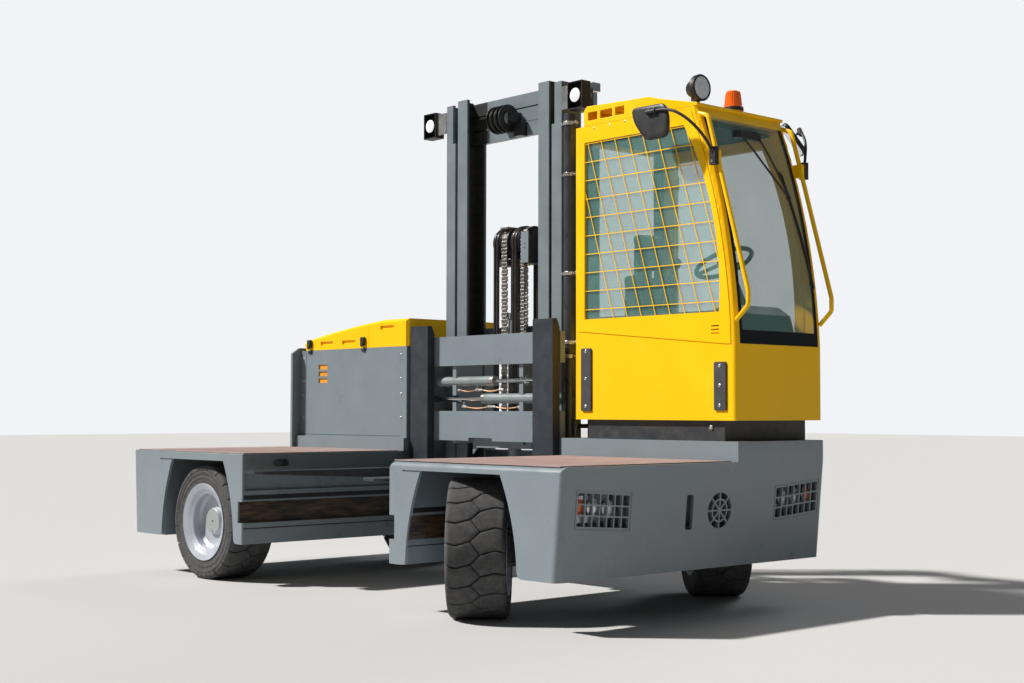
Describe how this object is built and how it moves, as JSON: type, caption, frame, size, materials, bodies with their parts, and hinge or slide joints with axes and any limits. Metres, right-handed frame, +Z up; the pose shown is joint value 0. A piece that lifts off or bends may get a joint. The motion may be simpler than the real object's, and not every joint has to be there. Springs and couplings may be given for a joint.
{
  "type": "electric sideloader",
  "caption": "Side-loading truck with a deck on each side of a reach mast with forks, a battery box under a lid and a driver's cab at the front.",
  "frame": {"origin": "on the ground under the middle of the hull, half its length and half its width", "axes": "+X is forward travel, towards the cab's end; -Y is the load side, where the forks point; +Z is up"},
  "size_m": [4.7241, 2.6994, 3.5],
  "materials": {
    "yellow_paint": "satin paint",
    "grey_paint": "satin paint",
    "mast_grey": "satin paint",
    "dark_steel": "satin black paint",
    "fork_steel": "dark paint, worn",
    "chrome_rod": "polished",
    "cylinder_grey": "satin paint",
    "chain_steel": "oiled",
    "deck_board": "fine grit",
    "tyre_rubber": "matt",
    "rim_silver": "silver paint",
    "tinted_glass": "clear with a green tint",
    "black_plastic": "fine grain",
    "seat_fabric": "woven",
    "amber_lens": "clear amber",
    "lamp_lens": "clear",
    "battery_case": "matt"
  },
  "bodies": {
    "chassis": {"rear_hull": "grey_paint", "front_hull": "grey_paint", "back_beam": "grey_paint", "deck_boards": "deck_board", "rear_drives": "dark_steel", "front_axle": "dark_steel", "battery_box": "grey_paint", "battery": "battery_case", "cab_shell": "yellow_paint", "cab_pedestal": "dark_steel", "side_glass": "tinted_glass", "window_mesh": "yellow_paint", "windscreen": "tinted_glass", "rear_glass": "tinted_glass", "cab_roof": "yellow_paint", "seat_base": "black_plastic", "seat_pads": "seat_fabric", "console": "black_plastic", "steering_wheel": "black_plastic", "grab_bars": "yellow_paint", "mirrors": "black_plastic", "work_lamp": "black_plastic", "beacon": "amber_lens", "headlamps": "lamp_lens"},
    "hood": {"hood_lid": "yellow_paint"},
    "door": {"cab_door": "yellow_paint", "door_glass": "tinted_glass"},
    "reach": {"reach_frame": "mast_grey", "outer_mast": "mast_grey", "outer_ties": "mast_grey", "lift_cylinders": "dark_steel", "hose_tube": "dark_steel", "mast_lamps": "mast_grey"},
    "inner_mast": {"inner_mast": "mast_grey", "lift_rods": "chrome_rod", "free_lift_cylinder": "cylinder_grey"},
    "free_lift": {"free_lift_head": "dark_steel", "lift_chain": "chain_steel"},
    "carriage": {"fork_carriage": "grey_paint", "positioner_barrels": "cylinder_grey"},
    "rear_fork": {"rear_fork": "fork_steel"},
    "front_fork": {"front_fork": "fork_steel"},
    "near_knuckle": {"near_knuckle": "dark_steel"},
    "far_knuckle": {"far_knuckle": "dark_steel"},
    "front_near_wheel": {"front_near_tyre": "tyre_rubber", "front_near_rim": "rim_silver"},
    "front_far_wheel": {"front_far_tyre": "tyre_rubber", "front_far_rim": "rim_silver"},
    "rear_near_wheel": {"rear_near_tyre": "tyre_rubber", "rear_near_rim": "rim_silver"},
    "rear_far_wheel": {"rear_far_tyre": "tyre_rubber", "rear_far_rim": "rim_silver"}
  },
  "joints": [
    {"name": "mast_reach", "type": "slide", "parent": "chassis", "child": "reach", "axis": [0, -1, 0], "range_m": [0, 1.4]},
    {"name": "mast_lift", "type": "slide", "parent": "reach", "child": "inner_mast", "axis": [0, 0, 1], "range_m": [0, 1.5]},
    {"name": "carriage_lift", "type": "slide", "parent": "inner_mast", "child": "carriage", "axis": [0, 0, 1], "range_m": [-0.6, 1.3]},
    {"name": "free_lift_head", "type": "slide", "parent": "inner_mast", "child": "free_lift", "axis": [0, 0, 1], "range_m": [-0.3, 0.65]},
    {"name": "rear_fork_shift", "type": "slide", "parent": "carriage", "child": "rear_fork", "axis": [1, 0, 0], "range_m": [0, 0.38]},
    {"name": "front_fork_shift", "type": "slide", "parent": "carriage", "child": "front_fork", "axis": [-1, 0, 0], "range_m": [0, 0.38]},
    {"name": "hood_hinge", "type": "hinge", "parent": "chassis", "child": "hood", "pos_m": [-1.5, 1.1423, 1.6803], "axis": [-1, 0, 0], "range_deg": [0, 75]},
    {"name": "door_hinge", "type": "hinge", "parent": "chassis", "child": "door", "pos_m": [1.008, 1.168, 2], "axis": [0, 0, 1], "range_deg": [0, 85]},
    {"name": "near_steering", "type": "hinge", "parent": "chassis", "child": "near_knuckle", "pos_m": [1.49955, -0.83, 0.405], "axis": [0, 0, 1], "range_deg": [-20, 100]},
    {"name": "far_steering", "type": "hinge", "parent": "chassis", "child": "far_knuckle", "pos_m": [1.49955, 0.83, 0.405], "axis": [0, 0, 1], "range_deg": [-17, 85]},
    {"name": "front_near_spin", "type": "hinge", "parent": "near_knuckle", "child": "front_near_wheel", "pos_m": [1.40055, -0.929, 0.405], "axis": [0.7071, 0.7071, 0], "continuous": true},
    {"name": "front_far_spin", "type": "hinge", "parent": "far_knuckle", "child": "front_far_wheel", "pos_m": [1.58574, 0.94032, 0.405], "axis": [0.6157, 0.788, 0], "continuous": true},
    {"name": "rear_near_spin", "type": "hinge", "parent": "chassis", "child": "rear_near_wheel", "pos_m": [-1.42, -0.926, 0.405], "axis": [0, 1, 0], "continuous": true},
    {"name": "rear_far_spin", "type": "hinge", "parent": "chassis", "child": "rear_far_wheel", "pos_m": [-1.42, 0.926, 0.405], "axis": [0, 1, 0], "continuous": true}
  ],
  "couplings": [
    {"joint": "far_steering", "follows": "near_steering", "ratio": 0.8444},
    {"joint": "free_lift_head", "follows": "carriage_lift", "ratio": 0.5}
  ]
}
